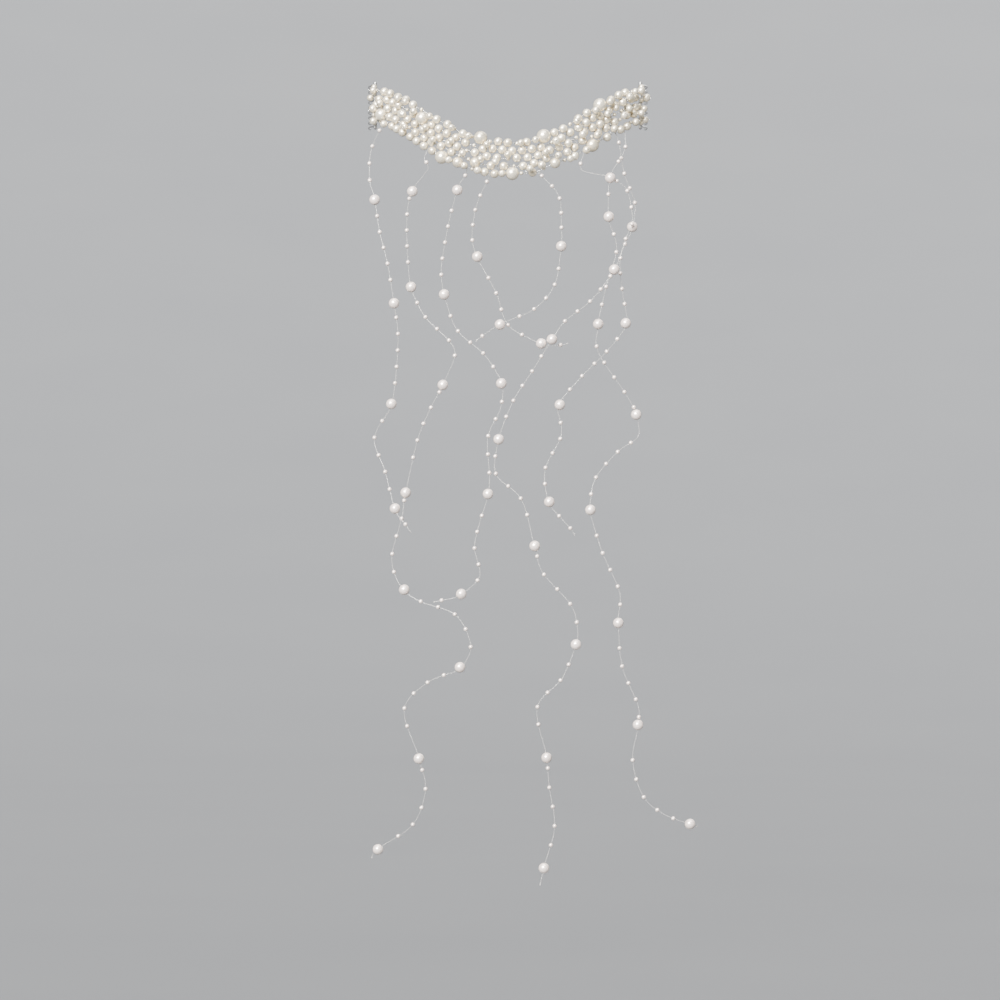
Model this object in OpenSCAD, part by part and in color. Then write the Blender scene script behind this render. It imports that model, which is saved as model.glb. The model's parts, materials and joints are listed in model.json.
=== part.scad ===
/* [Seat] */
// Radius of the round form that the garland is worn against
seat_r = 114; // [112:1:116]
// Widening of that form for each millimetre below the garland's ends
seat_flare = 0.35; // [0.33:0.01:0.4]

/* [Garland] */
// Angle from the middle of the garland to each comb, in degrees
garland_angle = 61; // [60:0.5:62]
// Rise of the garland's ends above its middle
garland_rise = 45; // [42:1:48]
// Distance across the garland from one wire to the next
row_pitch = 5.6; // [5.5:0.1:5.9]
// Distance along a wire from one place for a pearl to the next
station_pitch = 8; // [7.9:0.1:8.1]
// Diameter of a common garland pearl
pearl_d = 6.4; // [6:0.1:6.4]
// Diameter of a garland wire
wire_d = 0.4; // [0.3:0.05:0.4]
// Diameter of the hole through every pearl
hole_d = 1; // [0.9:0.05:1.1]

/* [Strands] */
// Diameter of a large pearl on a strand
drop_pearl_d = 8; // [7:0.5:8]
// Diameter of a strand's thread
thread_d = 0.5; // [0.4:0.05:0.6]
// Depth of the long wave in which the strands hang
wave_depth = 8; // [4:1:10]
// Height of one such wave
wave_length = 340; // [300:10:380]

/* [Combs] */
// Length of a comb's spine
comb_l = 34; // [32:1:36]
// Diameter of the spine
spine_d = 2.6; // [2.2:0.1:2.8]
// Number of teeth on a comb
tooth_count = 9; // [7:1:9]
// Diameter of a tooth
tooth_d = 1.4; // [1.2:0.1:1.5]
// Diameter of the round tip of a tooth
tip_d = 1.6; // [1.6:0.1:1.8]
// Length of a tooth along its curve
tooth_l = 32; // [26:1:34]
// Radius of the curve of a tooth
tooth_curve = 45; // [42:1:60]

/* [Hidden] */
$fn = 24;

// Colours
IVORY = [0.95, 0.93, 0.87];
SILVER = [0.78, 0.78, 0.8];
THREAD = [0.88, 0.88, 0.86];

// Clearance between pieces that lie against each other
fit = 0.2;
// Least clearance between two neighbouring pearls, and between two on the same wire
pearl_gap = 0.3;
threaded_gap = 1;
// Number of sides of a wire or thread
wire_sides = 6;
// Longest straight piece of a thread
thread_step = 6.5;

// Chart of the garland, seen from outside: a row for each wire, from the top one down,
// with a letter for each station from left to right. O is a large pearl, o a common one,
// and a dot is bare wire. Every second row is shifted half a station to the right.
garland_chart = [
    ".ooooo..oo.o.O.oo.o.Ooo.oo.Oooo..",
    "oooo.oOooooo.ooooooo.ooooooooooo.",
    "o.oooooooooo.ooo.oooooo.oooo..oo.",
    ".Oooo.ooooo..Ooo.ooo.ooo.ooo.oo..",
    "...oooooooO.O.ooO.o.O.o.O.o.oo..."];
row_count = len(garland_chart);
station_count = len(garland_chart[0]);

// Large pearls of the garland: columns, then the table
ROW = 0;
STATION = 1;
WIDTH = 2;
SHIFT_ALONG = 3;
SHIFT_ACROSS = 4;
large_pearls = [
    [0, 13, 10, 0, 1],
    [0, 20, 10.5, 2, -1],
    [0, 27, 10, -4, 0],
    [1, 6, 10, -1, 1],
    [3, 1, 10, -3, -2],
    [3, 13, 8, -4, -2],
    [4, 10, 10, 0, -2],
    [4, 12, 8, -3, 1],
    [4, 16, 10, 3, 1],
    [4, 20, 8, 0, 3],
    [4, 24, 10, 0, 2]];

// Height of a pearl's middle above the seat: three levels that no two neighbours share
level_base = 3.7;
level_step = 1.2;
// Height of a large pearl's middle, and of bare wire, above the seat
large_level = 6.6;
bare_level = 4.6;
// Irregularity of hand wiring: largest shift of a pearl along, across and outwards
jitter = [1.6, 1.5, 0.5];
jitter_seed = 1;
settle_passes = 30;
// Radius kept free around bare wire, and how far a pearl may stand off its wire's way
bare_clear_r = 0.9;
wire_slack = 1.3;
// Where a wire starts to bend at a pearl's hole, as a part of the pearl's radius
bend_start = 0.97;
// Number of list places that hold every neighbour of a pearl, on each side
neighbour_span = 3 * row_count;

// Height above the seat of the curve on which the garland's length is measured, and the
// step and the overrun of the table of that length, in degrees
mid_level = 4;
arc_step = 0.5;
arc_overrun = 6;

// Each strand, as points of its thread from the garland down. Columns: sideways place,
// height, lift off the seat, and 1 for a large pearl or 0 for a bend of the bare thread.
SIDEWAYS = 0;
HEIGHT = 1;
LIFT = 2;
PEARL = 3;
strand_a = [
    [-104, 10, 0, 0], [-105, -12, 0, 0], [-101, -28, 0, 1], [-97, -53, 0, 0],
    [-91, -77, 0, 0], [-86, -107, 0, 1], [-83, -130, 0, 0], [-84, -154, 0, 0],
    [-88, -183, 0, 1], [-101, -209, 0, 0], [-93, -233, 0, 0], [-85, -262, 3, 1],
    [-77, -274, 3, 0], [-73, -280, 2, 0]];
strand_b = [
    [-63, 1, 1, 0], [-60, -6, 0, 0], [-72, -23, 0, 1], [-76, -40, 0, 0], [-76, -64, 0, 0],
    [-73, -95, 0, 1], [-62, -118, 0, 0], [-44, -136, 0, 0], [-40, -147, 0, 0],
    [-49, -169, 0, 1], [-58, -186, 0, 0], [-68, -210, 0, 0], [-77, -250, 0, 1],
    [-80, -269, 0, 0], [-87, -295, 0, 0], [-86, -309, 0, 0], [-78, -323, 0, 1],
    [-65, -332, 0, 0], [-39, -342, 0, 0], [-28, -364, 0, 0], [-36, -381, 0, 1],
    [-61, -393, 0, 0], [-78, -413, 0, 0], [-67, -450, 0, 1], [-62, -473, 0, 0],
    [-71, -499, 0, 0], [-98, -519, 0, 1], [-103, -526, 0, 0]];
strand_c = [
    [-32, -12, 0, 0], [-38, -23, 0, 1], [-45, -50, 0, 0], [-50, -80, 0, 0],
    [-48, -101, 0, 1], [-38, -128, 0, 0], [-18, -146, 0, 0], [-5, -168, 0, 1],
    [-6, -188, 0, 0], [-15, -208, 0, 0], [-14, -235, 0, 0], [-15, -251, 0, 1],
    [-23, -279, 0, 0], [-25, -293, 0, 0], [-21, -312, 0, 0], [-35, -326, 0, 1],
    [-51, -331, 0, 0], [-56, -332, 0, 0]];
strand_d = [
    [-15, -15, 0, 0], [-24, -36, 0, 0], [-27, -58, 0, 0], [-23, -73, 0, 1],
    [-9, -100, 0, 0], [0, -124, 0, 0], [25, -138, 0, 1], [40, -139, 0, 0],
    [45, -138, 0, 0]];
strand_e = [
    [23, -10, 0, 0], [38, -27, 0, 0], [40, -48, 0, 0], [40, -65, 0, 1],
    [35, -94, 0, 0], [20, -112, 2, 0], [-6, -124, 4, 1], [-20, -133, 3, 0],
    [-24, -136, 3, 0]];
strand_f = [
    [84, 14, 0, 0], [88, -9, 0, 0], [96, -30, 0, 0], [94, -49, 0, 1],
    [85, -72, 0, 0], [86, -95, 0, 0], [89, -122, 0, 1], [75, -143, 3, 0],
    [56, -162, 3, 0], [39, -184, 0, 1], [40, -207, 0, 0], [28, -232, 0, 0],
    [31, -257, 0, 1], [47, -277, 0, 0], [50, -282, 0, 0]];
strand_g = [
    [55, -7, 1, 0], [77, -13, 6, 1], [90, -22, 6, 0], [94, -44, 6, 0],
    [89, -58, 6, 0], [80, -82, 7, 1], [63, -105, 4, 0], [43, -121, 4, 0],
    [33, -135, 4, 1], [18, -159, 1, 0], [4, -181, 0, 0], [-7, -210, 0, 1],
    [-9, -236, 0, 0], [10, -255, 0, 0], [20, -290, 0, 1], [26, -310, 0, 0],
    [47, -334, 0, 0], [52, -350, 0, 0], [51, -364, 0, 1], [40, -390, 0, 0],
    [22, -411, 0, 0], [29, -449, 0, 1], [31, -471, 0, 0], [35, -501, 0, 0],
    [27, -532, 0, 1], [24, -545, 0, 0]];
strand_h = [
    [89, 13, 2, 0], [86, 4, 2, 0], [77, -12, 0, 0], [76, -42, 0, 1], [82, -66, 0, 0],
    [74, -95, 0, 0], [68, -123, 0, 1], [68, -144, 0, 0], [88, -174, 0, 0],
    [97, -191, 0, 1], [98, -208, 0, 0], [83, -219, 0, 0], [66, -239, 0, 0],
    [62, -263, 0, 1], [71, -295, 0, 0], [84, -325, 0, 0], [83, -348, 0, 1],
    [86, -381, 0, 0], [98, -410, 0, 0], [98, -425, 0, 1], [94, -452, 0, 0],
    [102, -479, 0, 0], [118, -493, 0, 0], [138, -501, 0, 1], [144, -503, 0, 0]];

// Sideways place on the lowest wire from which each strand hangs
hang_x = [-95, -59.5, -30, -13, 22, 82, 57.5, 89];

// Vectors and lists
function unit(v) = v / norm(v);
function total(list) = [for (item = list) 1] * list;
function last(list) = list[len(list) - 1];

// Garland's middle line: its height, its slope, and its length from the middle out
function line_z(a) = garland_rise * pow(sin(90 * a / garland_angle), 2);
function line_slope(a) =
    garland_rise * 90 / garland_angle * sin(180 * a / garland_angle) / (seat_r + mid_level);
arc_table = [
    for (a = 0, s = 0; a <= garland_angle + arc_overrun;
         s = s + (seat_r + mid_level) * arc_step * PI / 180 * sqrt(1 + pow(line_slope(a), 2)),
         a = a + arc_step)
    [s, a]];
function line_angle(s) = sign(s) * lookup(abs(s), arc_table);

// Point at length s along the garland, v across it and w outwards from the seat
function on_garland(s, v, w) =
    let (a = line_angle(s), slope = line_slope(a), across = unit([-slope, 1]))
    [(seat_r + w) * sin(a) + v * across[0] * cos(a),
     seat_r - (seat_r + w) * cos(a) + v * across[0] * sin(a),
     line_z(a) + v * across[1]];

// Stations of the garland in columns from left to right: place, radius and whether a pearl
random = rands(-1, 1, 3 * row_count * station_count, jitter_seed);
function large_at(row, station) =
    [for (item = large_pearls) if (item[ROW] == row && item[STATION] == station) item][0];
function level(row, station) =
    level_base + level_step * ((station - floor(row / 2) - row + 3 * row_count) % 3);
function station_start(row, station) =
    let (i = 3 * (station * row_count + row),
         large = large_at(row, station),
         pearl = garland_chart[row][station] != ".",
         s = (station - (station_count - 1) / 2 + (row % 2) / 2) * station_pitch,
         v = ((row_count - 1) / 2 - row) * row_pitch)
    large != undef
        ? [on_garland(s + large[SHIFT_ALONG], v + large[SHIFT_ACROSS], large_level),
           large[WIDTH] / 2, true]
    : pearl
        ? [on_garland(s + random[i] * jitter[0], v + random[i + 1] * jitter[1],
                      level(row, station) + random[i + 2] * jitter[2]), pearl_d / 2, true]
        : [on_garland(s, v, bare_level), bare_clear_r, false];

// Settling: neighbours that are too close push each other apart, a wire draws its pearls
// into line, and none leaves the seat
function push(p, q, gap) =
    let (d = p[0] - q[0], l = norm(d), overlap = p[1] + q[1] + gap - l)
    overlap > 0 ? d / l * overlap / 2 : [0, 0, 0];
function draw_in(p, before, after) =
    before == undef || after == undef ? [0, 0, 0]
    : let (way = unit(after[0] - before[0]), off = (before[0] + after[0]) / 2 - p[0],
           side = off - way * (off * way), l = norm(side))
      l > wire_slack ? side * (1 - wire_slack / l) / 2 : [0, 0, 0];
function seated(p, r) =
    let (flat = [p[0], p[1] - seat_r], reach = norm(flat), least = seat_r + r + fit)
    reach < least ? [flat[0] * least / reach, seat_r + flat[1] * least / reach, p[2]] : p;
function settle(list, passes) =
    passes == 0 ? list
    : settle([for (i = [0 : len(list) - 1])
              let (near = [max(0, i - neighbour_span), min(len(list) - 1, i + neighbour_span)],
                   shift = draw_in(list[i], list[i - row_count], list[i + row_count])
                       + total([for (j = [near[0] : near[1]])
                                i == j ? [0, 0, 0]
                                : push(list[i], list[j],
                                       abs(i - j) == row_count ? threaded_gap : pearl_gap)]))
              [seated(list[i][0] + shift, list[i][1]), list[i][1], list[i][2]]],
             passes - 1);
stations = settle([for (station = [0 : station_count - 1]) for (row = [0 : row_count - 1])
                   station_start(row, station)], settle_passes);
function wire_stations(row) = [for (i = [0 : station_count - 1]) stations[i * row_count + row]];

// Comb spines, and the end of each wire beside one
spine_reach = seat_r + spine_d / 2 + fit;
spine_at = [spine_reach * sin(garland_angle), seat_r - spine_reach * cos(garland_angle)];
function wire_end(row, side) =
    let (axis = [side * spine_at[0], spine_at[1],
                 garland_rise + ((row_count - 1) / 2 - row) * row_pitch],
         inner = on_garland(side * station_pitch * station_count / 2, 0, bare_level),
         away = unit([inner[0] - axis[0], inner[1] - axis[1], 0]))
    axis + away * (spine_d / 2 + wire_d / 2 + fit);

// Direction of the hole through the pearl at a station, and the way of the whole wire
function hole_axis(ways, i) = unit(ways[i + 1] - ways[i - 1]);
function wire_ways(row) =
    concat([wire_end(row, -1)], [for (item = wire_stations(row)) item[0]], [wire_end(row, 1)]);
function wire_path(row) =
    let (list = wire_stations(row), ways = wire_ways(row))
    [for (i = [0 : len(ways) - 1])
        let (item = list[i - 1], pearl = i > 0 && i < len(ways) - 1 && item[2])
        for (end = pearl ? [-1, 1] : [0])
        pearl ? ways[i] + end * hole_axis(ways, i) * item[1] * bend_start : ways[i]];

// Middle of the bare gap of the lowest wire that lies nearest to x
hang_ways = wire_path(row_count - 1);
function hang_gap(x) =
    let (gaps = [for (i = [1 : len(hang_ways) - 2])
                 let (a = hang_ways[i], b = hang_ways[i + 1], mid = (a + b) / 2)
                 if (min([for (item = wire_stations(row_count - 1)) if (item[2])
                          norm(item[0] - mid) - item[1]]) > 0) mid],
         near = min([for (gap = gaps) abs(gap[0] - x)]))
    [for (gap = gaps) if (abs(gap[0] - x) == near) gap][0];

// Place of a strand's point: on the seat, which widens downwards, and in the long wave
function drape_y(x, z) =
    let (r = seat_r + mid_level + seat_flare * (garland_rise - z))
    r - sqrt(r * r - x * x) + wave_depth * (1 - cos(360 * z / wave_length)) / 2;
function drape(row) =
    [row[SIDEWAYS], drape_y(row[SIDEWAYS], row[HEIGHT]) - drop_pearl_d / 2 - row[LIFT],
     row[HEIGHT]];

// Thread of a strand: straight through each large pearl, and a smooth curve between
function strand_points(table, x) =
    let (top = hang_gap(x))
    concat([[top - [0, 0, wire_d / 2 + thread_d / 2 + 2 * fit], 0]],
           [for (row = table) [drape(row), row[PEARL] * drop_pearl_d]]);
function strand_axis(points, i) = unit(points[i + 1][0] - points[i - 1][0]);
function strand_knots(points) =
    [for (i = [0 : len(points) - 1])
        for (end = points[i][1] > 0 ? [-1, 1] : [0])
        end == 0 ? [points[i][0], false]
        : [points[i][0] + end * strand_axis(points, i) * (points[i][1] / 2 + fit), end < 0]];
function curve(a, b, c, d, t) =
    b + (c - a) * t / 2 + (2 * a - 5 * b + 4 * c - d) * t * t / 2
    + (3 * b - a - 3 * c + d) * t * t * t / 2;
function thread_path(points) =
    let (knots = strand_knots(points), n = len(knots))
    concat([for (i = [0 : n - 2])
                let (a = knots[max(0, i - 1)][0], b = knots[i][0], c = knots[i + 1][0],
                     d = knots[min(n - 1, i + 2)][0],
                     steps = knots[i][1] ? 1 : max(1, ceil(norm(c - b) / thread_step)))
                for (k = [0 : steps - 1]) curve(a, b, c, d, k / steps)],
           [last(knots)[0]]);

// Tube swept along a path, with rings that stay square to it
function path_tangent(path, i) =
    unit((i > 0 ? unit(path[i] - path[i - 1]) : [0, 0, 0])
         + (i < len(path) - 1 ? unit(path[i + 1] - path[i]) : [0, 0, 0]));
function ring(centre, tangent, side, d) =
    let (a = unit(cross(side, tangent)), b = cross(tangent, a))
    [for (k = [0 : wire_sides - 1])
        centre + d / 2 * (cos(360 * k / wire_sides) * a + sin(360 * k / wire_sides) * b)];
module tube(path, d, side) {
    n = wire_sides;
    top = (len(path) - 1) * n;
    points = [for (i = [0 : len(path) - 1])
              for (p = ring(path[i], path_tangent(path, i), side, d)) p];
    walls = [for (i = [0 : len(path) - 2]) for (k = [0 : n - 1])
             let (a = i * n + k, b = i * n + (k + 1) % n)
             for (face = [[a, a + n, b], [b, a + n, b + n]]) face];
    caps = [for (k = [1 : n - 2]) for (face = [[0, k, k + 1], [top, top + k + 1, top + k]]) face];
    polyhedron(points, concat(walls, caps));
}

// Round pearl with a hole along an axis
module drilled_pearl(centre, axis, d) {
    turn = [0, acos(axis[2]), atan2(axis[1], axis[0])];
    translate(centre) rotate(turn) difference() {
        sphere(d = d);
        cylinder(d = hole_d, h = d + 2, center = true);
    }
}

module garland_wire(row) {
    color(SILVER) tube(wire_path(row), wire_d, [0, 0, 1]);
}

module garland_pearls(row) {
    list = wire_stations(row);
    ways = wire_ways(row);
    color(IVORY) for (i = [0 : len(list) - 1])
        if (list[i][2]) drilled_pearl(list[i][0], hole_axis(ways, i + 1), 2 * list[i][1]);
}

module strand_thread(table, x) {
    color(THREAD) tube(thread_path(strand_points(table, x)), thread_d, [0, 1, 0]);
}

module strand_pearls(table, x) {
    points = strand_points(table, x);
    color(IVORY) for (i = [1 : len(points) - 1])
        if (points[i][1] > 0) drilled_pearl(points[i][0], strand_axis(points, i), points[i][1]);
}

// Curved tooth that starts in the spine and ends in a round tip
module tooth() {
    sweep = tooth_l / tooth_curve * 180 / PI;
    turned = garland_angle - 90;
    middle = spine_at - tooth_curve * [sin(garland_angle), -cos(garland_angle)];
    translate([middle[0], middle[1], 0]) {
        rotate(turned) rotate_extrude(angle = sweep) translate([tooth_curve, 0]) circle(d = tooth_d);
        rotate(turned + sweep) translate([tooth_curve, 0, 0]) sphere(d = tip_d);
    }
}

// Comb on the right: an upright spine behind the garland's end, with teeth that point forward
module comb() {
    tooth_pitch = (comb_l - spine_d) / (tooth_count - 1);
    color(SILVER) translate([0, 0, garland_rise]) {
        translate([spine_at[0], spine_at[1], 0]) {
            cylinder(d = spine_d, h = comb_l, center = true);
            for (end = [-1, 1]) translate([0, 0, end * comb_l / 2]) sphere(d = spine_d);
        }
        for (i = [0 : tooth_count - 1])
            translate([0, 0, (i - (tooth_count - 1) / 2) * tooth_pitch]) tooth();
    }
}

module comb_left() { mirror([1, 0, 0]) comb(); }
module comb_right() { comb(); }

comb_left();
comb_right();
garland_wire(0);  // garland_wire_1
garland_wire(1);  // garland_wire_2
garland_wire(2);  // garland_wire_3
garland_wire(3);  // garland_wire_4
garland_wire(4);  // garland_wire_5
garland_pearls(0);  // garland_pearls_1
garland_pearls(1);  // garland_pearls_2
garland_pearls(2);  // garland_pearls_3
garland_pearls(3);  // garland_pearls_4
garland_pearls(4);  // garland_pearls_5
strand_thread(strand_a, hang_x[0]);  // strand_a_thread
strand_thread(strand_b, hang_x[1]);  // strand_b_thread
strand_thread(strand_c, hang_x[2]);  // strand_c_thread
strand_thread(strand_d, hang_x[3]);  // strand_d_thread
strand_thread(strand_e, hang_x[4]);  // strand_e_thread
strand_thread(strand_f, hang_x[5]);  // strand_f_thread
strand_thread(strand_g, hang_x[6]);  // strand_g_thread
strand_thread(strand_h, hang_x[7]);  // strand_h_thread
strand_pearls(strand_a, hang_x[0]);  // strand_a_pearls
strand_pearls(strand_b, hang_x[1]);  // strand_b_pearls
strand_pearls(strand_c, hang_x[2]);  // strand_c_pearls
strand_pearls(strand_d, hang_x[3]);  // strand_d_pearls
strand_pearls(strand_e, hang_x[4]);  // strand_e_pearls
strand_pearls(strand_f, hang_x[5]);  // strand_f_pearls
strand_pearls(strand_g, hang_x[6]);  // strand_g_pearls
strand_pearls(strand_h, hang_x[7]);  // strand_h_pearls
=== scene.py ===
# %% [markdown]
# # A bridal hair comb with a pearl garland and hanging strands
#
# The real piece has two small hair combs. Five wires full of imitation pearls run from one
# comb to the other and make a dense garland, and eight thin threads with large pearls and
# small seed pearls hang down from it. The measured model already holds the combs, the pearls,
# the wires and the threads. This lesson reads where they are and dresses them: beads with
# soft rims, wire of two strands, binding wire, knots and the many small seed pearls.

# %% Load the measured model
import json
import math
import random

import bmesh
import bpy
import numpy as np
from mathutils import Matrix, Vector
from mathutils.geometry import interpolate_bezier


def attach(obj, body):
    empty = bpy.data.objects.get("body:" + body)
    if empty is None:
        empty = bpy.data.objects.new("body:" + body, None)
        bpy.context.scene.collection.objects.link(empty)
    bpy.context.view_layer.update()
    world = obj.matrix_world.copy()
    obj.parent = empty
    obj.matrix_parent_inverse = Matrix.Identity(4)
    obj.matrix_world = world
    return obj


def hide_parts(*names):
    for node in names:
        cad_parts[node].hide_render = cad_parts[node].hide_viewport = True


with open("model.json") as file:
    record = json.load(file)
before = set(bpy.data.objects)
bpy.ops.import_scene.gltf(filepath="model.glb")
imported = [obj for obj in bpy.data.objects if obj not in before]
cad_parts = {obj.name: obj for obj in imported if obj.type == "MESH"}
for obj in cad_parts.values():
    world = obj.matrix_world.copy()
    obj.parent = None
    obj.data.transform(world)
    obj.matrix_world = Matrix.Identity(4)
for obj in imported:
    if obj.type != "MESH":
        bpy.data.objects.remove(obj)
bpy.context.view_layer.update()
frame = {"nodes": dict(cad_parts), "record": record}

MM = 0.001

# %% [markdown]
# ## Camera
#
# The photograph looks level along +Y at the middle of the hanging strands, and one of its
# pixels is 0.75 mm wide. A long lens from far away keeps the near strands and the garland's
# far ends at nearly the same scale, as the photograph does. A new object shows only once it is
# linked to the scene, so one small function makes and links each of them.

# %% Place the camera
PIXEL = 0.75 * MM
IMAGE_WIDTH = 1000 * PIXEL
VIEW_CENTRE = Vector((-6 * MM, 0, -255.5 * MM))
CAMERA_DISTANCE = 3.6
SENSOR_WIDTH = 36


def placed(name, data):
    thing = bpy.data.objects.new(name, data)
    bpy.context.scene.collection.objects.link(thing)
    return thing


camera = placed("camera", bpy.data.cameras.new("camera"))
bpy.context.scene.camera = camera
camera.location = VIEW_CENTRE - Vector((0, CAMERA_DISTANCE, 0))
camera.rotation_euler = (math.pi / 2, 0, 0)
camera.data.sensor_width = SENSOR_WIDTH
camera.data.lens = SENSOR_WIDTH * CAMERA_DISTANCE / IMAGE_WIDTH
print("lens, mm:", round(camera.data.lens, 1))

# %% [markdown]
# ## Helpers for materials
#
# Colours are picked as the hex values that a screen shows, and shaders count in linear light,
# so one function converts them. A second one adds a node with its settings and links. The
# others are the steps that every finish here shares: a noise whose patches have a real size
# on the object, a ramp between two colours, a spread of roughness, a shallow relief, and the
# shader with its output.

# %% Colours and nodes
RELIEF_DEPTH = 0.02 * MM


def linear(colour):
    channels = [int(colour[i:i + 2], 16) / 255 for i in (1, 3, 5)]
    return [c / 12.92 if c <= 0.04045 else ((c + 0.055) / 1.055) ** 2.4 for c in channels] + [1]


def add(tree, kind, values={}, links={}, **options):
    node = tree.nodes.new("ShaderNode" + kind)
    for name, value in options.items():
        setattr(node, name, value)
    for socket, value in values.items():
        node.inputs[socket].default_value = value
    for socket, source in links.items():
        tree.links.new(source, node.inputs[socket])
    return node


def blank_material(name):
    material = bpy.data.materials.new(name)
    material.use_nodes = True
    material.node_tree.nodes.clear()
    return material, material.node_tree


def noise(tree, patch, detail=2.0):
    place = add(tree, "TexCoord").outputs["Object"]
    texture = add(tree, "TexNoise", {"Scale": 1 / patch, "Detail": detail}, {"Vector": place})
    return texture.outputs["Fac"]


def two_colours(tree, factor, first, second, low=0.0, high=1.0):
    ramp = add(tree, "ValToRGB", links={"Fac": factor})
    for stop, place, colour in zip(ramp.color_ramp.elements, (low, high), (first, second)):
        stop.position = place
        stop.color = linear(colour)
    return ramp.outputs["Color"]


def spread(tree, factor, low, high):
    return add(tree, "MapRange", {"To Min": low, "To Max": high}, {"Value": factor}).outputs[0]


def relief(tree, height, strength):
    bump = add(tree, "Bump", {"Strength": strength, "Distance": RELIEF_DEPTH}, {"Height": height})
    return bump.outputs[0]


def finish_with(tree, values, links):
    shader = add(tree, "BsdfPrincipled", values, links)
    add(tree, "OutputMaterial", links={"Surface": shader.outputs[0]})


# %% [markdown]
# ## Imitation pearl
#
# Such a pearl is a moulded bead that is dipped again and again in a lacquer with pearl
# pigment. The lacquer gives a soft ivory body with a satin gleam under a thin clear gloss,
# and no two dips come out quite alike. So the base is part metallic like the pigment, with a
# browner gleam towards its edge, a thin coat lies over it, and the body colour drifts a little
# over each pearl (patches of about 3 mm) and from one pearl to the next (the attribute
# pearl_tone, from 0 to 1). The skin of the lacquer has waves of about half a millimetre.

# %% Pearl lacquer
PATCH = 3 * MM
SKIN_WAVE = 0.5 * MM
PATCH_SHARE = 0.55
TONE_SHARE = 0.5


def pearl_lacquer(name, pale, deep, metallic):
    material, tree = blank_material(name)
    patches = noise(tree, PATCH)
    tone = add(tree, "Attribute", attribute_name="pearl_tone").outputs["Fac"]
    drift = add(tree, "Math", {1: PATCH_SHARE}, {0: patches}, operation="MULTIPLY").outputs[0]
    mixed = add(tree, "Math", {1: TONE_SHARE}, {0: tone, 2: drift}, operation="MULTIPLY_ADD")
    finish_with(tree, {"Metallic": metallic, "IOR": 1.53, "Specular Tint": linear("#868070"),
                       "Coat Weight": 0.4, "Coat Roughness": 0.05, "Coat IOR": 1.5},
                {"Base Color": two_colours(tree, mixed.outputs[0], pale, deep, 0.1, 0.95),
                 "Roughness": spread(tree, patches, 0.22, 0.34),
                 "Normal": relief(tree, noise(tree, SKIN_WAVE, 1.0), 0.08)})
    return material


ivory_pearl = pearl_lacquer("ivory_pearl_lacquer", "#FFF6E0", "#EADCC0", 0.68)
white_pearl = pearl_lacquer("white_pearl_lacquer", "#FFF0E6", "#F1E0D6", 0.48)
print("pearl finishes:", ivory_pearl.name, "and", white_pearl.name)

# %% [markdown]
# ## Bead core
#
# Inside the hole the lacquer ends and the moulded plastic of the bead shows, duller than the
# lacquer.
# Its darker colour is painted shade of the hole, and a fine noise breaks it up.

# %% Bare plastic and painted shade in the holes
core_with_painted_shade, tree = blank_material("bead_hole_painted_shade")
grain = noise(tree, 0.4 * MM)
# The two dark browns are painted shade inside the hole, on duller bare plastic.
finish_with(tree, {"Roughness": 0.6, "IOR": 1.49},
            {"Base Color": two_colours(tree, grain, "#8F8778", "#6E6759")})

# %% [markdown]
# ## Silver-plated wire
#
# Craft wire is copper with a bright silver plating, drawn through a die. It is a smooth metal
# that dulls in patches, so colour and roughness drift over a few millimetres.

# %% Drawn wire
silver_wire, tree = blank_material("silver_plated_wire")
tarnish = noise(tree, 4 * MM, 3.0)
finish_with(tree, {"Metallic": 1.0},
            {"Base Color": two_colours(tree, tarnish, "#E6E5E2", "#B3B0A8", 0.35, 0.8),
             "Roughness": spread(tree, tarnish, 0.16, 0.34)})

# %% [markdown]
# ## Steel of the combs
#
# The combs are bent from stainless steel wire and tumbled to a soft shine. Tumbling leaves fine
# scratches in all directions, about 0.3 mm apart here so that they can still be seen, so a
# fine noise drives roughness and bump, and a broad one makes the steel a little cloudy.

# %% Tumbled steel
comb_steel, tree = blank_material("tumbled_stainless_steel")
scratches = noise(tree, 0.3 * MM)
clouds = noise(tree, 6 * MM)
finish_with(tree, {"Metallic": 1.0},
            {"Base Color": two_colours(tree, clouds, "#CDCCCA", "#B5B4B2", 0.3, 0.7),
             "Roughness": spread(tree, scratches, 0.2, 0.42),
             "Normal": relief(tree, scratches, 0.1)})

# %% [markdown]
# ## Clear nylon thread
#
# The strands hang on clear nylon monofilament, drawn like fishing line. It lets most light
# through, so from afar only a glint here and there gives it away, and close by it looks like
# slightly milky glass. Its colour, gloss and surface drift a little along its length.

# %% Drawn nylon
clear_nylon, tree = blank_material("clear_nylon_monofilament")
drawing = noise(tree, 2 * MM)
finish_with(tree, {"IOR": 1.53, "Transmission Weight": 0.75},
            {"Base Color": two_colours(tree, drawing, "#F4F2EE", "#DEDBD5"),
             "Roughness": spread(tree, drawing, 0.12, 0.3),
             "Normal": relief(tree, drawing, 0.15)})
print("other finishes:", [m.name for m in (core_with_painted_shade, silver_wire, comb_steel, clear_nylon)])

# %% [markdown]
# ## Reading the measured model
#
# Each node of the model is loose triangles. A merged copy gives back its connected shapes. A
# drilled pearl has all its points on one sphere, so the sphere that fits them best gives its
# middle and size, and the long edges down its hole give the direction of the thread. A wire is
# a chain of rings: edges much shorter than its diameter run round a ring, and the middles of
# the rings, taken one after the other from one end, are its centre line.

# %% Measure pearls and centre lines
WELD = 0.001 * MM
HOLE_EDGE = 1.8  # in radii of the pearl
RING_EDGE = 0.7  # in diameters of the wire
WIRE = 0.4 * MM
MEASURED_THREAD = 0.5 * MM


def merged_copy(node):
    bm = bmesh.new()
    bm.from_mesh(frame["nodes"][node].data)
    bmesh.ops.remove_doubles(bm, verts=bm.verts, dist=WELD)
    return bm


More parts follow.
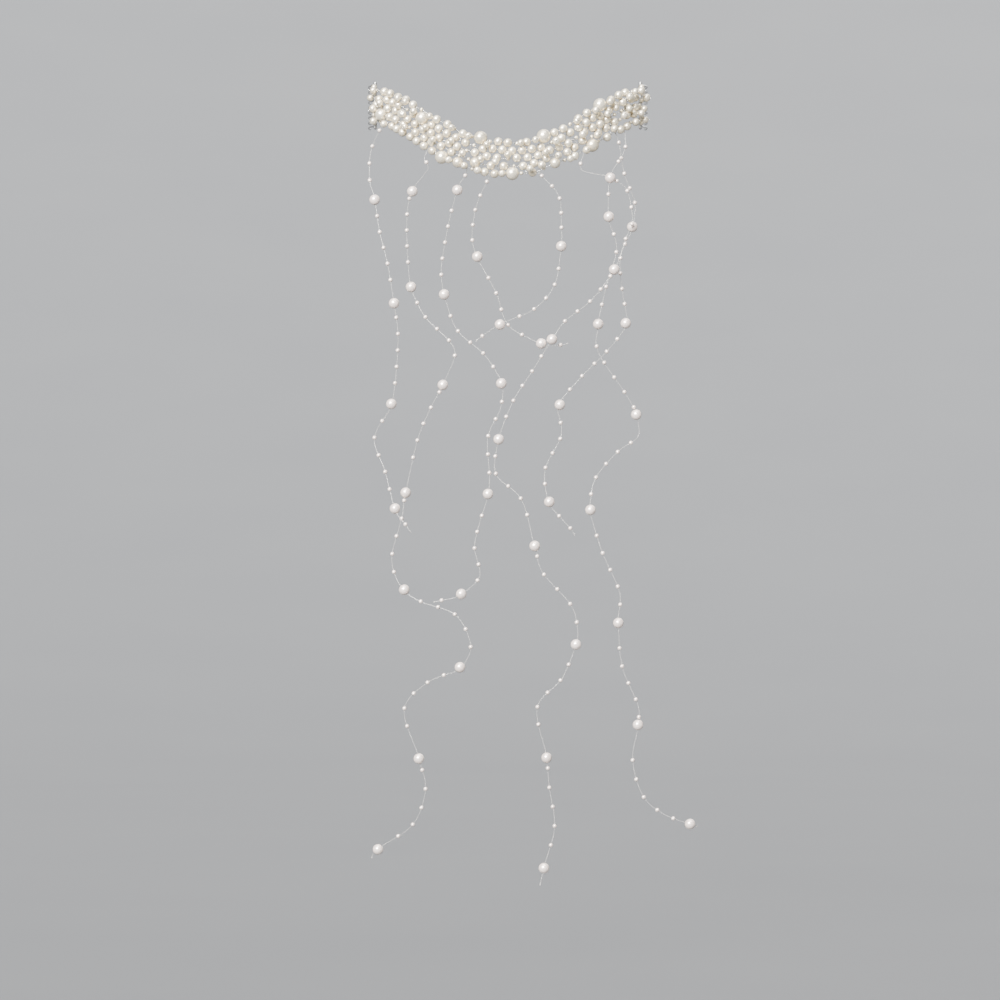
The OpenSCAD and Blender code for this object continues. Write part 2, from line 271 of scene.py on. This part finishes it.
def joined_groups(bm, joins):
    seen, groups = set(), []
    for first in bm.verts:
        if first in seen:
            continue
        group, waiting = [], [first]
        seen.add(first)
        while waiting:
            vert = waiting.pop()
            group.append(vert)
            for edge in vert.link_edges:
                other = edge.other_vert(vert)
                if other not in seen and joins(edge):
                    seen.add(other)
                    waiting.append(other)
        groups.append(group)
    return groups


def measured_pearls(node):
    bm = merged_copy(node)
    pearls = []
    for group in joined_groups(bm, lambda edge: True):
        points = np.array([v.co for v in group])
        equations = np.column_stack([2 * points, np.ones(len(points))])
        fit = np.linalg.lstsq(equations, (points ** 2).sum(axis=1), rcond=None)[0]
        radius = math.sqrt(fit[3] + fit[:3] @ fit[:3])
        axis = Vector()
        for edge in {e for v in group for e in v.link_edges}:
            way = edge.verts[1].co - edge.verts[0].co
            if way.length > HOLE_EDGE * radius:
                axis += way if way.dot(axis) >= 0 else -way
        pearls.append((Vector(fit[:3]), axis.normalized(), radius))
    bm.free()
    return pearls


def centre_line(node, diameter, first):
    bm = merged_copy(node)
    rings = joined_groups(bm, lambda edge: edge.calc_length() < RING_EDGE * diameter)
    ring_of = {v: i for i, ring in enumerate(rings) for v in ring}
    middles = [sum((v.co for v in ring), Vector()) / len(ring) for ring in rings]
    beside = [{ring_of[e.other_vert(v)] for v in ring for e in v.link_edges} - {i}
              for i, ring in enumerate(rings)]
    ends = [i for i, others in enumerate(beside) if len(others) == 1]
    line = [min(ends, key=lambda i: first(middles[i]))]
    while len(line) < len(rings):
        line.append((beside[line[-1]] - set(line[-2:-1])).pop())
    bm.free()
    return [middles[i] for i in line]


ROWS = range(1, 6)
STRANDS = "abcdefgh"
row_pearls = {row: measured_pearls(f"garland_pearls_{row}") for row in ROWS}
row_lines = {row: centre_line(f"garland_wire_{row}", WIRE, lambda p: p.x) for row in ROWS}
strand_pearls = {s: measured_pearls(f"strand_{s}_pearls") for s in STRANDS}
strand_lines = {s: centre_line(f"strand_{s}_thread", MEASURED_THREAD, lambda p: -p.z)
                for s in STRANDS}
print("garland pearls:", {row: len(found) for row, found in row_pearls.items()})
print("strand pearls:", {s: len(found) for s, found in strand_pearls.items()})
print("points of the wires:", {row: len(line) for row, line in row_lines.items()})
print("points of the threads:", {s: len(line) for s, line in strand_lines.items()})

# %% [markdown]
# ## A bead, and many of it
#
# A round bead could be a plain sphere, but the eye looks for the soft dimple round the hole.
# So the sphere loses its two poles, each open ring is drawn in to the hole and turned in with
# one more ring, and a bridge between the two rings makes the wall of the hole. One such bead
# is made once and then copied to each place, turned along its thread and rolled at random.

# %% Make a drilled bead and string it
RIM = 1.35  # in widths of the hole
DIMPLE = 0.3  # in radii of the rim
POLE = 0.999  # in radii of the bead


def finished_mesh(name, bm):
    shape = bpy.data.meshes.new(name)
    bm.to_mesh(shape)
    bm.free()
    return shape


def drilled_bead(name, diameter, hole, segments, rings):
    radius = diameter / 2
    bm = bmesh.new()
    bmesh.ops.create_uvsphere(bm, u_segments=segments, v_segments=rings, radius=radius)
    poles = [v for v in bm.verts if abs(v.co.z) > POLE * radius]
    bmesh.ops.delete(bm, geom=poles, context="VERTS")
    rim = hole / 2 * RIM
    rim_height = math.sqrt(radius ** 2 - rim ** 2)
    inner = []
    for side in (-1, 1):
        edges = [e for e in bm.edges if e.is_boundary and side * e.verts[0].co.z > 0]
        for width, height in ((rim, rim_height), (hole / 2, rim_height - DIMPLE * rim)):
            if width != rim:
                made = bmesh.ops.extrude_edge_only(bm, edges=edges)["geom"]
                edges = [g for g in made if isinstance(g, bmesh.types.BMEdge) and g.is_boundary]
            ring = list({v for e in edges for v in e.verts})
            now = math.hypot(ring[0].co.x, ring[0].co.y)
            bmesh.ops.scale(bm, vec=(width / now, width / now, 1), verts=ring)
            bmesh.ops.translate(bm, vec=(0, 0, side * height - ring[0].co.z), verts=ring)
        inner += edges
    wall = bmesh.ops.bridge_loops(bm, edges=inner)["faces"]
    for face in bm.faces:
        face.smooth = True
    for face in wall:
        face.material_index = 1
    bmesh.ops.recalc_face_normals(bm, faces=bm.faces)
    return finished_mesh(name, bm)


def strung(name, shapes_and_places, lacquer, chance):
    bm = bmesh.new()
    tone = bm.verts.layers.float.new("pearl_tone")
    for shape, middle, axis in shapes_and_places:
        before = len(bm.verts)
        bm.from_mesh(shape)
        bm.verts.ensure_lookup_table()
        verts = bm.verts[before:]
        shade = chance.random()
        for vert in verts:
            vert[tone] = shade
        roll = Matrix.Rotation(chance.uniform(0, math.tau), 4, "Z")
        turn = axis.to_track_quat("Z", "Y").to_matrix().to_4x4()
        bmesh.ops.transform(bm, matrix=Matrix.Translation(middle) @ turn @ roll, verts=verts)
    piece = placed(name, finished_mesh(name, bm))
    piece.data.materials.append(lacquer)
    piece.data.materials.append(core_with_painted_shade)
    return piece


def settled(piece, slot, *nodes):
    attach(piece, "root")
    if nodes:
        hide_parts(*nodes)
    print(piece.name, len(piece.data.polygons), "faces")


# %% [markdown]
# ## Garland pearls
#
# Each wire carries its own pearls. Two sizes would be enough to look real, but the measured
# sizes are kept. A bead is made for each size, with more faces for a larger one, because its
# outline is what shows: a 6.4 mm pearl has 18 sides and a 10.5 mm one has 24.

# %% String the garland
HOLE = 1 * MM
LEAST_SIDES = 7
SIDES_PER_MM = 1.6


def bead_kit(pearls, hole=HOLE):
    kit = {}
    for middle, axis, radius in pearls:
        size = round(2 * radius / MM, 1)
        if size not in kit:
            segments = 2 * round((LEAST_SIDES + SIDES_PER_MM * size) / 2)
            kit[size] = drilled_bead(f"bead_{size}", size * MM, hole, segments, segments // 2 + 2)
        yield kit[size], middle, axis


chance = random.Random(7)
for row in ROWS:
    piece = strung(f"ivory_pearls_{row}", bead_kit(row_pearls[row]), ivory_pearl, chance)
    settled(piece, "pearl", f"garland_pearls_{row}")

# %% [markdown]
# ## Large pearls of the strands
#
# The hanging strands carry large pearls in a whiter lacquer. They are drilled beads too, so
# the garland's functions string them as well, one piece for each strand. Each bead takes its
# place and the direction of its hole from the measured pearl, so the thread goes through it.

# %% String the large pearls
for s in STRANDS:
    piece = strung(f"large_pearls_{s}", bead_kit(strand_pearls[s]), white_pearl, chance)
    settled(piece, "strand_pearl", f"strand_{s}_pearls")

# %% [markdown]
# ## Wire and thread
#
# A drawn wire is a round section that follows a line, which is just what Blender's curves with
# a bevel make. The line is given as points, and the finished curve becomes a mesh. The
# measured lines are coarse, so they are first smoothed: between two points runs a Bezier
# piece whose handles follow the neighbours, except inside a pearl, where a thread is straight.

# %% Smooth a line and draw wire along it
INSIDE = 0.5  # in radii of the pearl


def smooth_line(points, pearls, step):
    line = [points[0]]
    for i in range(len(points) - 1):
        before, a, b, after = (points[max(0, min(k, len(points) - 1))]
                               for k in range(i - 1, i + 3))
        pieces = max(1, math.ceil((b - a).length / step))
        middle = (a + b) / 2
        if any((middle - pearl[0]).length < INSIDE * pearl[2] for pearl in pearls):
            line += [a.lerp(b, (k + 1) / pieces) for k in range(pieces)]
        else:
            line += interpolate_bezier(a, a + (b - before) / 6, b - (after - a) / 6, b,
                                       pieces + 1)[1:]
    return line


def lengths(line):
    sums = [0.0]
    for a, b in zip(line, line[1:]):
        sums.append(sums[-1] + (b - a).length)
    return sums


def point_at(line, sums, place):
    i = max(1, min(len(line) - 1, int(np.searchsorted(sums, place))))
    share = (place - sums[i - 1]) / (sums[i] - sums[i - 1])
    return line[i - 1].lerp(line[i], share), (line[i] - line[i - 1]).normalized()


def nearest_place(line, sums, point):
    found = []
    for i in range(len(line) - 1):
        way = line[i + 1] - line[i]
        share = max(0.0, min(1.0, (point - line[i]).dot(way) / way.length_squared))
        found.append(((line[i] + share * way - point).length, sums[i] + share * way.length))
    return min(found)[1]


def drawn(name, runs, diameter, finish, roundness=0):
    curve = bpy.data.curves.new(name, "CURVE")
    curve.dimensions = "3D"
    curve.bevel_depth = diameter / 2
    curve.bevel_resolution = roundness
    curve.use_fill_caps = True
    for run in runs:
        spline = curve.splines.new("POLY")
        spline.points.add(len(run) - 1)
        for point, place in zip(spline.points, run):
            point.co = (*place, 1)
        spline.use_smooth = True
    shaper = bpy.data.objects.new(name + "_curve", curve)
    shape = bpy.data.meshes.new_from_object(shaper)
    bpy.data.objects.remove(shaper)
    shape.name = name
    shape.materials.clear()
    shape.materials.append(finish)
    return placed(name, shape)


def coil(middle, axis, side, radius, pitch, turns, steps=10):
    axis = axis.normalized()
    out = (side - axis * side.dot(axis)).normalized()
    cross = axis.cross(out)
    points = []
    for k in range(round(turns * steps) + 1):
        angle = math.tau * k / steps
        rise = pitch * (k / steps - turns / 2)
        around = radius * (math.cos(angle) * out + math.sin(angle) * cross)
        points.append(middle + axis * rise + around)
    return points


# %% [markdown]
# ## Threads of the strands
#
# Each thread is looped over the lowest wire of the garland, knotted, and ends in a small
# knot below its last pearl. A barrel knot is three turns of the thread round itself.

# %% Draw the threads
THREAD = 0.38 * MM
THREAD_STEP = 1.6 * MM
LOOP_STEP = 0.25 * MM
LOOP_RISE = 0.85 * MM
LOOP_REACH = 0.47 * MM
NECK_RISE = 0.3 * MM
NECK_SHARE = 0.7  # of the loop's reach
KNOT_RADIUS = 0.36 * MM
KNOT_TURNS = 3
TOP_KNOT = 0.5 * MM
END_KNOT = 0.7 * MM
UP = Vector((0, 0, 1))
FRONT = Vector((0, -1, 0))


def wire_loop(top):
    wire_point = top + UP * LOOP_RISE
    reach = FRONT * LOOP_REACH
    neck = [top + reach * side * NECK_SHARE + UP * NECK_RISE for side in (1, -1)]
    points = [top, neck[0], wire_point + reach, wire_point + UP * LOOP_REACH,
              wire_point - reach, neck[1], top]
    return smooth_line(points, [], LOOP_STEP)


def barrel_knot(middle, way):
    return coil(middle, way, FRONT, KNOT_RADIUS, THREAD, KNOT_TURNS)


threads = {s: smooth_line(strand_lines[s], strand_pearls[s], THREAD_STEP) for s in STRANDS}
thread_lengths = {s: lengths(threads[s]) for s in STRANDS}
for s in STRANDS:
    line = threads[s]
    way, end_way = (line[1] - line[0]).normalized(), (line[-1] - line[-2]).normalized()
    runs = [line, wire_loop(line[0]), barrel_knot(line[0] + way * TOP_KNOT, way),
            barrel_knot(line[-1] - end_way * END_KNOT, end_way)]
    piece = drawn(f"nylon_thread_{s}", runs, THREAD, clear_nylon, 2)
    settled(piece, "thread", f"strand_{s}_thread")
print("thread lengths, mm:", {s: round(thread_lengths[s][-1] / MM) for s in STRANDS})

# %% [markdown]
# ## Seed pearls of the strands
#
# Between two large pearls the maker strings a short run of seed pearls, mostly five, with bare
# thread before and after it. For each stretch the table gives how many there are and how many
# millimetres of bare thread lie before the first and after the last. Where the last number
# is 0, the strand ends without a large pearl, and the seed pearls keep their usual distance.

# %% String the seed pearls
SEED = 3.2 * MM
SMALL_HOLE = 0.8 * MM
USUAL_PITCH = 12.5 * MM
STRETCHES = {
    "a": [(4, 6, 17), (5, 13, 18), (5, 11, 16), (5, 15, 16), (1, 15, 0)],
    "b": [(1, 11, 24), (5, 6, 19), (5, 13, 24), (5, 6, 27), (5, 6, 16), (5, 16, 18), (5, 14, 26),
          (5, 9, 19)],
    "c": [(1, 6, 13), (5, 16, 15), (5, 17, 14), (5, 14, 16), (5, 17, 16), (1, 16, 0)],
    "d": [(5, 6, 13), (5, 18, 16), (1, 15, 0)],
    "e": [(5, 5, 14), (5, 17, 16), (1, 16, 0)],
    "f": [(5, 8, 19), (5, 15, 15), (5, 15, 14), (5, 14, 14), (2, 13, 0)],
    "g": [(1, 11, 25), (5, 6, 26), (5, 6, 17), (5, 15, 18), (5, 13, 24), (5, 8, 17), (5, 16, 26),
          (5, 8, 18)],
    "h": [(4, 14, 17), (5, 14, 15), (5, 17, 6), (5, 25, 12), (5, 20, 14), (5, 19, 6), (5, 27, 15)],
}


def seed_places(s):
    line, sums = threads[s], thread_lengths[s]
    stops = [0.0] + sorted(nearest_place(line, sums, pearl[0]) for pearl in strand_pearls[s])
    stops.append(sums[-1])
    for i, (count, before, after) in enumerate(STRETCHES[s]):
        first = stops[i] + before * MM
        stretch = stops[i + 1] - after * MM - first
        pitch = stretch / max(1, count - 1) if after else USUAL_PITCH
        for k in range(count):
            yield point_at(line, sums, first + k * pitch)


seed_bead = drilled_bead("seed_bead", SEED, SMALL_HOLE, segments=9, rings=7)
seeds = {s: [(seed_bead, *place) for place in seed_places(s)] for s in STRANDS}
for s in STRANDS:
    settled(strung(f"seed_pearls_{s}", seeds[s], white_pearl, chance), "strand_pearl")
print("seed pearls:", {s: len(strand) for s, strand in seeds.items()})

# %% [markdown]
# ## Wires of the garland
#
# Each garland wire is really two thin wires twisted together, so that it keeps its shape. At
# each end the pair is wound three times round the comb, between two teeth.

# %% Twist the wires and wind their ends round the combs
PAIR_WIRE = 0.22 * MM
TWIST = 3 * MM
TWIST_STEPS = 8
TOOTH_PITCH = 3.925 * MM
SPINE_RADIUS = 1.3 * MM
SPINE_TURNS = 3
SPINE_STEPS = 14
PAIR_REACH = 0.27 * MM
PAIR_PITCH = 0.46 * MM


def comb_spine(side):
    name = "comb_left_seat" if side < 0 else "comb_right_seat"
    return next(Vector(m["pos_m"]) for m in frame["record"]["mounts"] if m["name"] == name)


def round_the_comb(end, side):
    spine = comb_spine(side)
    gap = math.floor((end.z - spine.z) / TOOTH_PITCH + 0.01) + 0.5
    rise = spine.z + gap * TOOTH_PITCH
    start = math.atan2(end.y - spine.y, end.x - spine.x)
    away = math.hypot(end.y - spine.y, end.x - spine.x)
    points = []
    for k in range(1, SPINE_TURNS * SPINE_STEPS + 1):
        share = min(1.0, 2 * k / SPINE_STEPS)
        radius = away + (SPINE_RADIUS + PAIR_REACH - away) * share
        level = rise + PAIR_PITCH * (k / SPINE_STEPS - SPINE_TURNS / 2)
        angle = start - side * math.tau * k / SPINE_STEPS
        points.append(Vector((spine.x + radius * math.cos(angle),
                              spine.y + radius * math.sin(angle),
                              end.z + (level - end.z) * share)))
    return points


def twisted_pair(line):
    sums = lengths(line)
    runs = [[], []]
    count = round(sums[-1] / (TWIST / TWIST_STEPS))
    for k in range(count + 1):
        point, way = point_at(line, sums, sums[-1] * k / count)
        out = way.cross(UP).normalized()
        angle = math.tau * k / TWIST_STEPS
        offset = PAIR_WIRE / 2 * (math.cos(angle) * out + math.sin(angle) * out.cross(way))
        runs[0].append(point + offset)
        runs[1].append(point - offset)
    return runs


whole_lines = {}
for row in ROWS:
    points = row_lines[row]
    whole_lines[row] = (round_the_comb(points[0], -1)[::-1] + points
                        + round_the_comb(points[-1], 1))
    runs = twisted_pair(whole_lines[row])
    settled(drawn(f"twisted_wire_{row}", runs, PAIR_WIRE, silver_wire), "wire",
            f"garland_wire_{row}")

# %% [markdown]
# ## Tiny pearls in the gaps
#
# A bare place along a wire holds a tiny pearl wherever there is room for one, but not where a
# strand hangs, nor in front of the combs, where a column of pearls follows. To know the room,
# the script keeps a list of all pearls so far and measures how far a point is from the
# nearest one's surface.

# %% Thread tiny pearls on the bare places
BARE_ROOM = 0.7 * MM
HANG_ROOM = 3 * MM
TINY_RADII = (1 * MM, 1.4 * MM)
TINY_CLEARANCE = 0.15 * MM
COLUMN_FRONT = 4.2 * MM
COLUMN_OUT = 0.8 * MM
COLUMN_ROOM = 1.8 * MM


def taking(pearls):
    return np.array([(*middle, radius) for middle, axis, radius in pearls])


def room(point, taken):
    return float((np.linalg.norm(taken[:, :3] - np.array(point), axis=1) - taken[:, 3]).min())


def column_front(side):
    return comb_spine(side) + Vector((side * COLUMN_OUT, -COLUMN_FRONT, 0))


def in_column_way(point):
    return any((point - column_front(side)).xy.length < COLUMN_ROOM for side in (-1, 1))


def bare_places(row):
    for point in row_lines[row][1:-1]:
        beside = min((point - middle).length - radius for middle, axis, radius in row_pearls[row])
        hung = min((point - strand_lines[s][0]).length for s in STRANDS)
        if beside > BARE_ROOM and hung > HANG_ROOM and not in_column_way(point):
            yield point


pearls_taken = taking([pearl for row in ROWS for pearl in row_pearls[row]])
gap_pearls = []
for row in ROWS:
    whole = whole_lines[row]
    sums = lengths(whole)
    for place in bare_places(row):
        free = room(place, pearls_taken) - TINY_CLEARANCE
        if free > TINY_RADII[0]:
            way = point_at(whole, sums, nearest_place(whole, sums, place))[1]
            gap_pearls.append((place, way, min(free, TINY_RADII[1])))
beads = bead_kit(gap_pearls, SMALL_HOLE)
settled(strung("gap_pearls", beads, ivory_pearl, chance), "pearl")
print("pearls in the gaps:", len(gap_pearls))

# %% [markdown]
# ## Columns of pearls along the combs
#
# The maker hides each comb's spine under a column of small pearls. Their wire is wound on at
# the top of the spine, runs down in front of it and is wound on again at the bottom. Going down
# the column in small steps, a pearl goes wherever it finds room beside the garland's pearls.

# %% Wire a column of pearls along each comb
TIE_WIRE = 0.26 * MM
WINDING_PITCH = TIE_WIRE * 1.1
SLACK = 0.03 * MM
WIRE_ROOM = 0.35 * MM
CLEARANCE = 0.12 * MM
COLUMN_RADII = (1.6 * MM, 2.2 * MM)
COLUMN_HOLE = 0.7 * MM
COLUMN_END = 3.5 * TOOTH_PITCH
COLUMN_STEPS = 90
COLUMN_BEND = 0.5 * MM
COLUMN_TURN = 0.7  # in radii of the end pearl
WINDING_TURNS = 6
SPINE_FRONT = 1.8 * MM
WIRE_SAMPLES = 500


def evenly(line, count):
    sums = lengths(line)
    return [point_at(line, sums, sums[-1] * k / count)[0] for k in range(count + 1)]


def wound_on(spine, level):
    return coil(spine + UP * level, UP, FRONT, SPINE_RADIUS + TIE_WIRE / 2 + SLACK,
                WINDING_PITCH, WINDING_TURNS, steps=16)


def take(pearl):
    global pearls_taken
    pearls_taken = np.vstack((pearls_taken, taking([pearl])))


def free_radius(place):
    return min(room(place, pearls_taken), room(place, wires_taken)) - CLEARANCE


def column_wire(spine, column):
    path = []
    for sign, (place, axis, radius) in ((1, column[0]), (-1, column[-1])):
        level = place.z + sign * COLUMN_TURN * radius
        bend = [Vector((spine.x, spine.y, level)) + FRONT * SPINE_FRONT,
                place + UP * sign * (radius + COLUMN_BEND)]
        path += bend[::sign]
    return wound_on(spine, COLUMN_END) + path + wound_on(spine, -COLUMN_END)


for pearl in gap_pearls:
    take(pearl)
wires_taken = np.array([(*point, WIRE_ROOM) for row in ROWS
                        for point in evenly(whole_lines[row], WIRE_SAMPLES)])
column_pearls = []
column_wires = []
for side in (-1, 1):
    column = []
    for k in range(COLUMN_STEPS + 1):
        place = column_front(side) + UP * COLUMN_END * (1 - 2 * k / COLUMN_STEPS)
        free = free_radius(place)
        if free >= COLUMN_RADII[0]:
            column.append((place, UP, min(free, COLUMN_RADII[1])))
            take(column[-1])
    column_pearls += column
    column_wires.append(column_wire(comb_spine(side), column))
beads = bead_kit(column_pearls, COLUMN_HOLE)
settled(strung("column_pearls", beads, ivory_pearl, chance), "pearl")
settled(drawn("column_wires", column_wires, TIE_WIRE, silver_wire), "wire")
print("pearls along the combs:", len(column_pearls))

# %% [markdown]
# ## Pearls on stems
#
# More pearls stand on short stems over the gaps between the rows, which gives the garland its
# dense, uneven surface. A stem is wound twice round a row's wire where that is bare, over any
# winding that is there already, goes straight through the pearl and ends in a small eye. The
# places are tried in random order on a grid over the garland. Each one that has room and a
# free way to a bare piece of wire gets a pearl, but none stands before a large pearl, which
# the maker wants to be seen.

# %% Stand pearls on stems
BEND_AXIS = Vector((0, 104 * MM, 0))
STEM_REACH = 10 * MM
STEM_RADII = (2.5 * MM, 3.2 * MM)
STEM_SPACING = 7.6 * MM
STEM_OUTS = (0.5 * MM, 1.5 * MM, 2.5 * MM, 3.5 * MM, 4.5 * MM)
STEM_LEAST = 0.6 * MM
STEM_END = 0.1 * MM
EYE_RADIUS = 0.3 * MM
EYE_REACH = 0.35 * MM
LARGE_RADIUS = 3.9 * MM
LARGE_MARGIN = 0.3
GRID_SAMPLES = 150
SAMPLE = 0.5 * MM
END_SAMPLES = 8
NEIGHBOURS = 3
WINDING_ROOM = 0.52 * MM
SAME_PLACE = 1 * MM
WAY_SAMPLES = 14
WAY_ROOM = TIE_WIRE / 2 + 0.05 * MM
chance = random.Random(23)
large_pearls = [pearl for row in ROWS for pearl in row_pearls[row] if pearl[2] > LARGE_RADIUS]
wound_places = []


def outward(point):
    way = point - BEND_AXIS
    way.z = 0
    return way.normalized()


def open_places(row):
    line = row_lines[row]
    sums = lengths(line)
    count = round(sums[-1] / SAMPLE)
    places = [point_at(line, sums, sums[-1] * k / count) for k in range(count + 1)]
    free = [room(point, pearls_taken) for point, way in places]
    return [places[k] for k in range(END_SAMPLES, count - END_SAMPLES)
            if free[k] > WINDING_ROOM
            and free[k] == max(free[k - NEIGHBOURS:k + NEIGHBOURS + 1])]


def wound_round(place, way, side):
    layer = sum((place - other).length < SAME_PLACE for other in wound_places)
    wound_places.append(place)
    reach = (WIRE + TIE_WIRE) / 2 + SLACK + layer * TIE_WIRE
    return coil(place, way, side, reach, WINDING_PITCH, 2)


def clear_between(a, b):
    return all(room(a.lerp(b, k / WAY_SAMPLES), pearls_taken) > WAY_ROOM
               for k in range(WAY_SAMPLES + 1))


def before_large(place, radius):
    out = outward(place)
    ways = [(middle - place, large) for middle, axis, large in large_pearls]
    return any((way - out * way.dot(out)).length < large + LARGE_MARGIN * radius
               for way, large in ways)


def stem_anchor(place, radius):
    for far, k in sorted(((place - a).length, k) for k, (a, way) in enumerate(anchors)):
        a, way = anchors[k]
        axis = (place - a).normalized()
        if far > STEM_REACH:
            return None
        if far > radius + STEM_LEAST and clear_between(a, place - axis * (radius + STEM_END)):
            return a, way, axis


def stem(a, way, axis, place, radius):
    tip = place + axis * (radius + EYE_REACH)
    return (wound_round(a, way, axis) + [place, tip - axis * EYE_RADIUS]
            + coil(tip, axis.cross(UP), -axis, EYE_RADIUS, pitch=0, turns=1, steps=8))


lines = [evenly(row_lines[row], GRID_SAMPLES) for row in ROWS]
lines += [[(a + b) / 2 for a, b in zip(*pair)] for pair in zip(lines, lines[1:])]
grid = [point + outward(point) * out for line in lines for point in line for out in STEM_OUTS]
chance.shuffle(grid)
anchors = [place for row in ROWS for place in open_places(row)]
stems = []
stem_pearls = []
for place in grid:
    radius = chance.uniform(*STEM_RADII)
    if any((place - pearl[0]).length < STEM_SPACING for pearl in stem_pearls):
        continue
    if free_radius(place) < radius or before_large(place, radius):
        continue
    found = stem_anchor(place, radius)
    if found:
        stem_pearls.append((place, found[2], radius))
        take(stem_pearls[-1])
        stems.append(stem(*found, place, radius))
beads = bead_kit(stem_pearls, SMALL_HOLE)
settled(strung("stem_pearls", beads, ivory_pearl, chance), "pearl")
settled(drawn("pearl_stems", stems, TIE_WIRE, silver_wire), "wire")
print("anchors:", len(anchors), "stems:", len(stems))

# %% [markdown]
# ## Binding wire
#
# Five separate wires would fall apart, so the maker ties neighbours together with thinner
# wire wherever a straight path between the pearls is free. Each tie winds twice round one
# wire, crosses the gap and winds twice round the next.

# %% Tie neighbouring wires together
TIE_REACH = 9 * MM
TIE_SPACING = 7 * MM

ties = []
for row in ROWS[:-1]:
    last_x = -math.inf
    for a, way_a in open_places(row):
        near = [(b, way_b) for b, way_b in open_places(row + 1)
                if (b - a).length < TIE_REACH and clear_between(a, b)]
        if near and a.x - last_x > TIE_SPACING:
            b, way_b = min(near, key=lambda found: (found[0] - a).length)
            ties.append(wound_round(a, way_a, b - a) + wound_round(b, way_b, a - b))
            last_x = a.x
settled(drawn("binding_wire", ties, TIE_WIRE, silver_wire), "wire")
print("ties:", len(ties))

# %% [markdown]
# ## Combs
#
# The measured combs already have their true shape: a straight spine with nine curved teeth.
# They only get their steel, and thin wire wound on the spine in the one gap between the teeth
# that all the other wires leave free.

# %% Finish the combs
windings = []
for side, node in ((-1, "comb_left"), (1, "comb_right")):
    comb = frame["nodes"][node]
    comb.data.materials.clear()
    comb.data.materials.append(comb_steel)
    windings.append(wound_on(comb_spine(side), -0.5 * TOOTH_PITCH))
settled(drawn("comb_windings", windings, TIE_WIRE, silver_wire), "wire")

# %% [markdown]
# ## Studio
#
# The pearls need a pale, plain ground. A round floor whose rim rises gently all the way round
# looks the same from every side, and it stays evenly bright because no part of it is steep.

# %% Floor
FLOOR = -0.6
FLAT_RADIUS = 6.0
RIM_WIDTH = 4.0
RIM_HEIGHT = 3.4
BEND = 3.6
bm = bmesh.new()
profile = [bm.verts.new(place) for place in
           ((0, 0, FLOOR), (FLAT_RADIUS, 0, FLOOR),
            (FLAT_RADIUS + RIM_WIDTH, 0, FLOOR + RIM_HEIGHT))]
for pair in zip(profile, profile[1:]):
    bm.edges.new(pair)
bmesh.ops.bevel(bm, geom=[profile[1]], offset=BEND, segments=20, profile=0.5,
                affect="VERTICES", material=-1)
bmesh.ops.spin(bm, geom=bm.verts[:] + bm.edges[:], cent=(0, 0, 0), axis=(0, 0, 1),
               angle=math.tau, steps=64, use_merge=True)
bmesh.ops.remove_doubles(bm, verts=bm.verts, dist=MM)
bmesh.ops.recalc_face_normals(bm, faces=bm.faces)
for face in bm.faces:
    face.smooth = True
paper, tree = blank_material("matt_studio_paper")
fibres = noise(tree, 300 * MM)
finish_with(tree, {"Roughness": 0.9},
            {"Base Color": two_colours(tree, fibres, "#575859", "#535456")})
floor = placed("studio_floor", finished_mesh("studio_floor", bm))
floor.data.materials.append(paper)
print("floor faces:", len(floor.data.polygons))

# %% [markdown]
# ## Light
#
# A pearl shows the windows round it, so it wants a few large soft sources and a dim room. Sun
# lamps with a wide angle are soft boxes that are far away: they light pearls and ground alike
# from one side to the other. The key is high on the left, a weak fill on the right opens the
# shadows, one overhead lights the floor and the upper edges, and one behind serves the views
# from the inside of the piece.

# %% Wide soft suns
world = bpy.data.worlds.new("studio")
bpy.context.scene.world = world
world.use_nodes = True
background = world.node_tree.nodes["Background"]
background.inputs["Color"].default_value = linear("#D8DADD")
background.inputs["Strength"].default_value = 0.05


def soft_sun(name, towards, width, strength):
    data = bpy.data.lights.new(name, "SUN")
    data.angle = math.radians(width)
    data.energy = strength
    lamp = placed(name, data)
    lamp.rotation_euler = Vector(towards).to_track_quat("-Z", "Y").to_euler()


soft_sun("key", (0.38, 0.83, -0.47), 34, 21.5)
soft_sun("fill", (-0.75, 0.65, 0), 40, 1.4)
soft_sun("overhead", (0, 0.25, -1), 52, 4.2)
soft_sun("behind", (-0.3, -0.85, -0.3), 50, 2.8)
